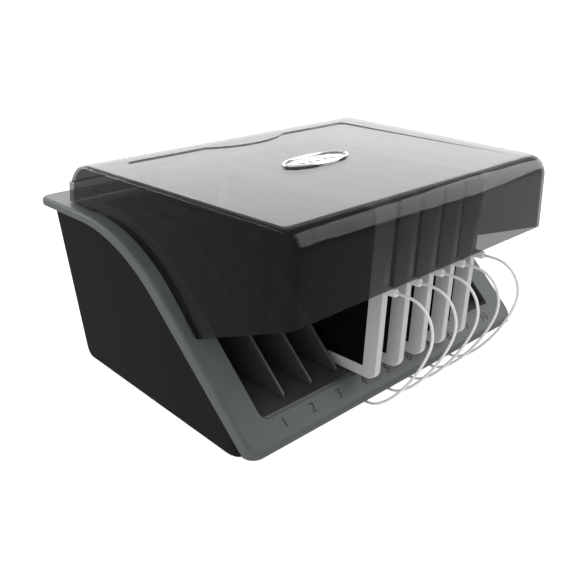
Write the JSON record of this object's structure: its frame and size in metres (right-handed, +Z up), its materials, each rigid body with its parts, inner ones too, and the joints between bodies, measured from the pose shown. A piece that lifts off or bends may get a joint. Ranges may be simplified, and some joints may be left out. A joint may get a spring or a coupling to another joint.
{
  "type": "device charging station",
  "caption": "Desktop charging station: tapered tub, sloping tray with upright dividers, smoked flip-up lid, and stored tablets on short charging leads.",
  "frame": {"origin": "middle of the base, on the surface that it stands on", "axes": "+X to the right, +Y to the back, +Z up; the numbered nose faces -Y"},
  "size_m": [0.4148, 0.388, 0.2288],
  "materials": {
    "housing_black": "fine moulded texture, satin",
    "frame_grey": "fine moulded texture, satin",
    "tray_grey": "fine moulded texture, satin",
    "divider_grey": "fine moulded texture, satin",
    "lid_smoke": "polished, see-through smoke tint",
    "rubber_black": "matte",
    "rocker_black": "satin",
    "steel": "plain",
    "socket_steel": "plated",
    "circuit_board": "solder mask",
    "lead_black": "matte",
    "badge_metal": "satin",
    "badge_chrome": "bright",
    "tablet_white": "smooth",
    "plug_white": "smooth",
    "cable_white": "smooth, satin"
  },
  "bodies": {
    "root": {"base_bin": "housing_black", "rim_frame": "frame_grey", "device_tray": "tray_grey", "rubber_foot_1": "rubber_black", "rubber_foot_2": "rubber_black", "rubber_foot_3": "rubber_black", "rubber_foot_4": "rubber_black", "case_screw_1": "steel", "case_screw_2": "steel", "case_screw_3": "steel", "case_screw_4": "steel", "charger_board": "circuit_board", "board_screw_1": "steel", "board_screw_2": "steel", "usb_bank_left": "socket_steel", "usb_bank_right": "socket_steel", "dc_inlet": "housing_black", "switch_housing": "housing_black", "power_lead": "lead_black", "hinge_bracket_left": "housing_black", "hinge_bracket_right": "housing_black", "hinge_pin_left": "steel", "hinge_pin_right": "steel", "tablet_4": "tablet_white", "device_plug_4": "plug_white", "usb_plug_4": "plug_white", "cable_4": "cable_white", "tablet_5": "tablet_white", "device_plug_5": "plug_white", "usb_plug_5": "plug_white", "cable_5": "cable_white", "tablet_6": "tablet_white", "device_plug_6": "plug_white", "usb_plug_6": "plug_white", "cable_6": "cable_white", "tablet_7": "tablet_white", "device_plug_7": "plug_white", "usb_plug_7": "plug_white", "cable_7": "cable_white", "tablet_8": "tablet_white", "device_plug_8": "plug_white", "usb_plug_8": "plug_white", "cable_8": "cable_white"},
    "lid": {"lid_shell": "lid_smoke", "lid_bumper_1": "rubber_black", "lid_bumper_2": "rubber_black", "lid_bumper_3": "rubber_black", "lid_bumper_4": "rubber_black", "badge_plate": "badge_metal", "badge_ring": "badge_chrome"},
    "rocker": {"power_rocker": "rocker_black"},
    "divider_1": {"divider_1": "divider_grey"},
    "divider_2": {"divider_2": "divider_grey"},
    "divider_3": {"divider_3": "divider_grey"},
    "divider_4": {"divider_4": "divider_grey"},
    "divider_5": {"divider_5": "divider_grey"},
    "divider_6": {"divider_6": "divider_grey"},
    "divider_7": {"divider_7": "divider_grey"},
    "divider_8": {"divider_8": "divider_grey"},
    "divider_9": {"divider_9": "divider_grey"}
  },
  "joints": [
    {"name": "lid_hinge", "type": "hinge", "parent": "root", "child": "lid", "pos_m": [0, 0.143, 0.1945], "axis": [-1, 0, 0], "range_deg": [0, 100]},
    {"name": "rocker_pivot", "type": "hinge", "parent": "root", "child": "rocker", "pos_m": [0.155, 0.1595, 0.04], "axis": [-1, 0, 0], "range_deg": [0, 16]},
    {"name": "divider_1_lift", "type": "slide", "parent": "root", "child": "divider_1", "axis": [0, 0, 1], "range_m": [0, 0.01]},
    {"name": "divider_2_lift", "type": "slide", "parent": "root", "child": "divider_2", "axis": [0, 0, 1], "range_m": [0, 0.01]},
    {"name": "divider_3_lift", "type": "slide", "parent": "root", "child": "divider_3", "axis": [0, 0, 1], "range_m": [0, 0.01]},
    {"name": "divider_4_lift", "type": "slide", "parent": "root", "child": "divider_4", "axis": [0, 0, 1], "range_m": [0, 0.01]},
    {"name": "divider_5_lift", "type": "slide", "parent": "root", "child": "divider_5", "axis": [0, 0, 1], "range_m": [0, 0.01]},
    {"name": "divider_6_lift", "type": "slide", "parent": "root", "child": "divider_6", "axis": [0, 0, 1], "range_m": [0, 0.01]},
    {"name": "divider_7_lift", "type": "slide", "parent": "root", "child": "divider_7", "axis": [0, 0, 1], "range_m": [0, 0.01]},
    {"name": "divider_8_lift", "type": "slide", "parent": "root", "child": "divider_8", "axis": [0, 0, 1], "range_m": [0, 0.01]},
    {"name": "divider_9_lift", "type": "slide", "parent": "root", "child": "divider_9", "axis": [0, 0, 1], "range_m": [0, 0.01]}
  ]
}
